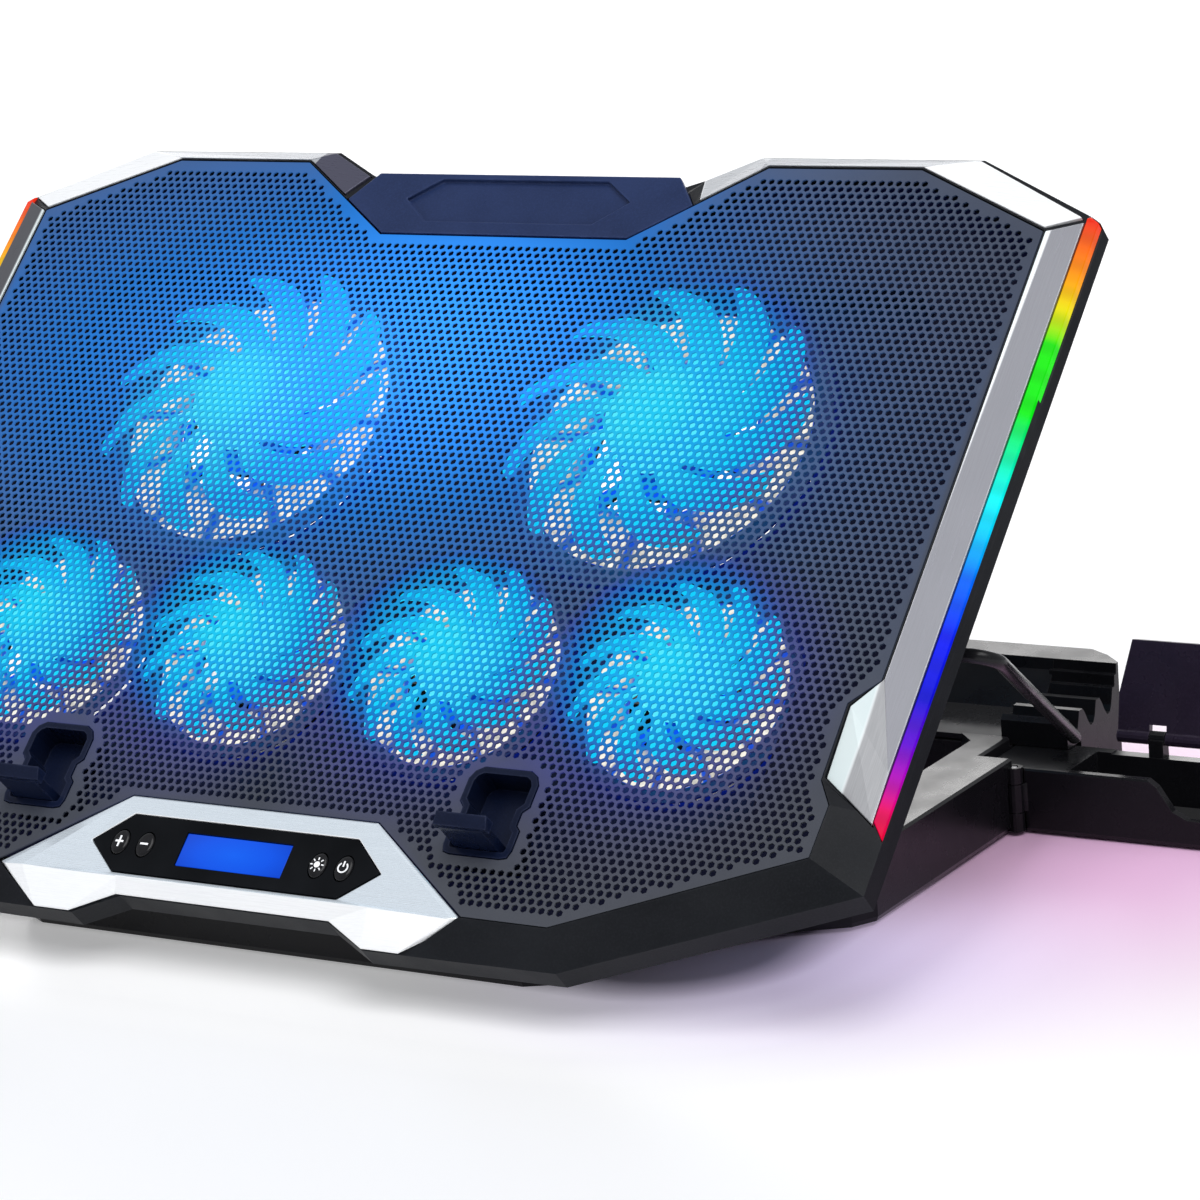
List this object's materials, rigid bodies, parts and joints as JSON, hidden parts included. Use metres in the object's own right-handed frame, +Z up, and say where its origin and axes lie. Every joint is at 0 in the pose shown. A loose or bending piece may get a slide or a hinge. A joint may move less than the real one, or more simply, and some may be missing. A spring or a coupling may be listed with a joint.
{
  "type": "laptop cooling pad",
  "caption": "Laptop cooling pad: perforated deck with fans, tilted on a folding wire strut over a framed base, with fold-up stops and a swing-out phone arm.",
  "frame": {"origin": "middle of the front rubber foot strip, on the desk", "axes": "+Z up, +X to the user's right along the front edge, -Y towards the user"},
  "size_m": [0.488, 0.2908, 0.2148],
  "materials": {
    "black_plastic": "fine matte",
    "dark_grey_plastic": "fine matte",
    "painted_steel_mesh": "satin paint, hexagonal perforation",
    "silver_trim": "satin",
    "pale_silver_trim": "satin metallic paint",
    "gloss_black": "gloss",
    "blue_lcd": "backlit",
    "key_black": "gloss",
    "light_diffuser": "lit diffuser, one colour after another along its length",
    "clear_blue_blade": "translucent, lit from the hub",
    "motor_plastic": "matte",
    "circuit_board": "satin",
    "steel": "plain",
    "rubber": "matte",
    "black_coated_steel": "satin coating"
  },
  "bodies": {
    "base": {"base_frame": "black_plastic", "strut_rack": "dark_grey_plastic", "tilt_pin_left": "steel", "tilt_pin_right": "steel", "front_foot_strip": "rubber", "side_foot_left": "rubber", "side_foot_right": "rubber", "rear_foot_left": "rubber", "rear_foot_right": "rubber", "arm_pin": "steel"},
    "strut": {"wire_strut": "black_coated_steel"},
    "phone_arm": {"phone_arm": "black_plastic", "tray_pad": "rubber", "arm_foot": "rubber", "backrest_pin": "steel"},
    "phone_backrest": {"phone_backrest": "dark_grey_plastic"},
    "laptop_stop_left": {"laptop_stop_left": "dark_grey_plastic"},
    "laptop_stop_right": {"laptop_stop_right": "dark_grey_plastic"},
    "key_minus": {"key_minus": "key_black"},
    "key_plus": {"key_plus": "key_black"},
    "key_light": {"key_light": "key_black"},
    "key_power": {"key_power": "key_black"},
    "fan_rear_left": {"fan_rear_left_rotor": "clear_blue_blade"},
    "fan_rear_right": {"fan_rear_right_rotor": "clear_blue_blade"},
    "fan_front_far_left": {"fan_front_far_left_rotor": "clear_blue_blade"},
    "fan_front_left": {"fan_front_left_rotor": "clear_blue_blade"},
    "fan_front_right": {"fan_front_right_rotor": "clear_blue_blade"},
    "fan_front_far_right": {"fan_front_far_right_rotor": "clear_blue_blade"},
    "deck": {"top_frame": "black_plastic", "bottom_shell": "black_plastic", "deck_knuckle_left": "black_plastic", "deck_knuckle_right": "black_plastic", "strut_lug_left": "black_plastic", "strut_lug_right": "black_plastic", "stop_pocket_left": "dark_grey_plastic", "stop_pocket_right": "dark_grey_plastic", "rear_port_panel": "dark_grey_plastic", "mesh_panel": "painted_steel_mesh", "side_trim_left": "silver_trim", "rear_corner_trim_left": "pale_silver_trim", "light_bar_left": "light_diffuser", "led_strip_left": "circuit_board", "usb_socket_left": "steel", "side_trim_right": "silver_trim", "rear_corner_trim_right": "pale_silver_trim", "light_bar_right": "light_diffuser", "led_strip_right": "circuit_board", "usb_socket_right": "steel", "front_bezel": "pale_silver_trim", "control_panel": "gloss_black", "lcd_screen": "blue_lcd", "control_board": "circuit_board", "fan_rear_left_motor": "motor_plastic", "fan_rear_right_motor": "motor_plastic", "fan_front_far_left_motor": "motor_plastic", "fan_front_left_motor": "motor_plastic", "fan_front_right_motor": "motor_plastic", "fan_front_far_right_motor": "motor_plastic"}
  },
  "joints": [
    {"name": "deck_tilt", "type": "hinge", "parent": "base", "child": "deck", "pos_m": [0, -0.0023, 0.02], "axis": [1, 0, 0], "range_deg": [-30, 0]},
    {"name": "strut_swing", "type": "hinge", "parent": "deck", "child": "strut", "pos_m": [0, 0.07766, 0.08544], "axis": [1, 0, 0], "range_deg": [0, 54]},
    {"name": "laptop_stop_left_turn", "type": "hinge", "parent": "deck", "child": "laptop_stop_left", "pos_m": [-0.082, -0.0136, 0.04132], "axis": [1, 0, 0], "range_deg": [-90, 0]},
    {"name": "laptop_stop_right_turn", "type": "hinge", "parent": "deck", "child": "laptop_stop_right", "pos_m": [0.082, -0.0136, 0.04132], "axis": [1, 0, 0], "range_deg": [-90, 0]},
    {"name": "fan_rear_left_spin", "type": "hinge", "parent": "deck", "child": "fan_rear_left", "pos_m": [-0.079, 0.098, 0.15095], "axis": [0, -0.67, 0.7423], "continuous": true},
    {"name": "fan_rear_right_spin", "type": "hinge", "parent": "deck", "child": "fan_rear_right", "pos_m": [0.079, 0.098, 0.15095], "axis": [0, -0.67, 0.7423], "continuous": true},
    {"name": "fan_front_far_left_spin", "type": "hinge", "parent": "deck", "child": "fan_front_far_left", "pos_m": [-0.119, 0.03097, 0.09045], "axis": [0, -0.67, 0.7423], "continuous": true},
    {"name": "fan_front_left_spin", "type": "hinge", "parent": "deck", "child": "fan_front_left", "pos_m": [-0.0397, 0.03097, 0.09045], "axis": [0, -0.67, 0.7423], "continuous": true},
    {"name": "fan_front_right_spin", "type": "hinge", "parent": "deck", "child": "fan_front_right", "pos_m": [0.0397, 0.03097, 0.09045], "axis": [0, -0.67, 0.7423], "continuous": true},
    {"name": "fan_front_far_right_spin", "type": "hinge", "parent": "deck", "child": "fan_front_far_right", "pos_m": [0.119, 0.03097, 0.09045], "axis": [0, -0.67, 0.7423], "continuous": true},
    {"name": "key_minus_press", "type": "slide", "parent": "deck", "child": "key_minus", "axis": [0, 0.67, -0.7423], "range_m": [0, 0.0006], "stiffness_N_per_m": 800, "springref_m": -0.0005},
    {"name": "key_plus_press", "type": "slide", "parent": "deck", "child": "key_plus", "axis": [0, 0.67, -0.7423], "range_m": [0, 0.0006], "stiffness_N_per_m": 800, "springref_m": -0.0005},
    {"name": "key_light_press", "type": "slide", "parent": "deck", "child": "key_light", "axis": [0, 0.67, -0.7423], "range_m": [0, 0.0006], "stiffness_N_per_m": 800, "springref_m": -0.0005},
    {"name": "key_power_press", "type": "slide", "parent": "deck", "child": "key_power", "axis": [0, 0.67, -0.7423], "range_m": [0, 0.0006], "stiffness_N_per_m": 800, "springref_m": -0.0005},
    {"name": "phone_arm_swing", "type": "hinge", "parent": "base", "child": "phone_arm", "pos_m": [0.1639, 0.1652, 0.012], "axis": [0, 0, 1], "range_deg": [-90, 0]},
    {"name": "backrest_fold", "type": "hinge", "parent": "phone_arm", "child": "phone_backrest", "pos_m": [0.2175, 0.1934, 0.027], "axis": [-1, 0, 0], "range_deg": [-101, 0]}
  ],
  "couplings": [
    {"joint": "strut_swing", "follows": "deck_tilt", "ratio": -1.7988}
  ]
}
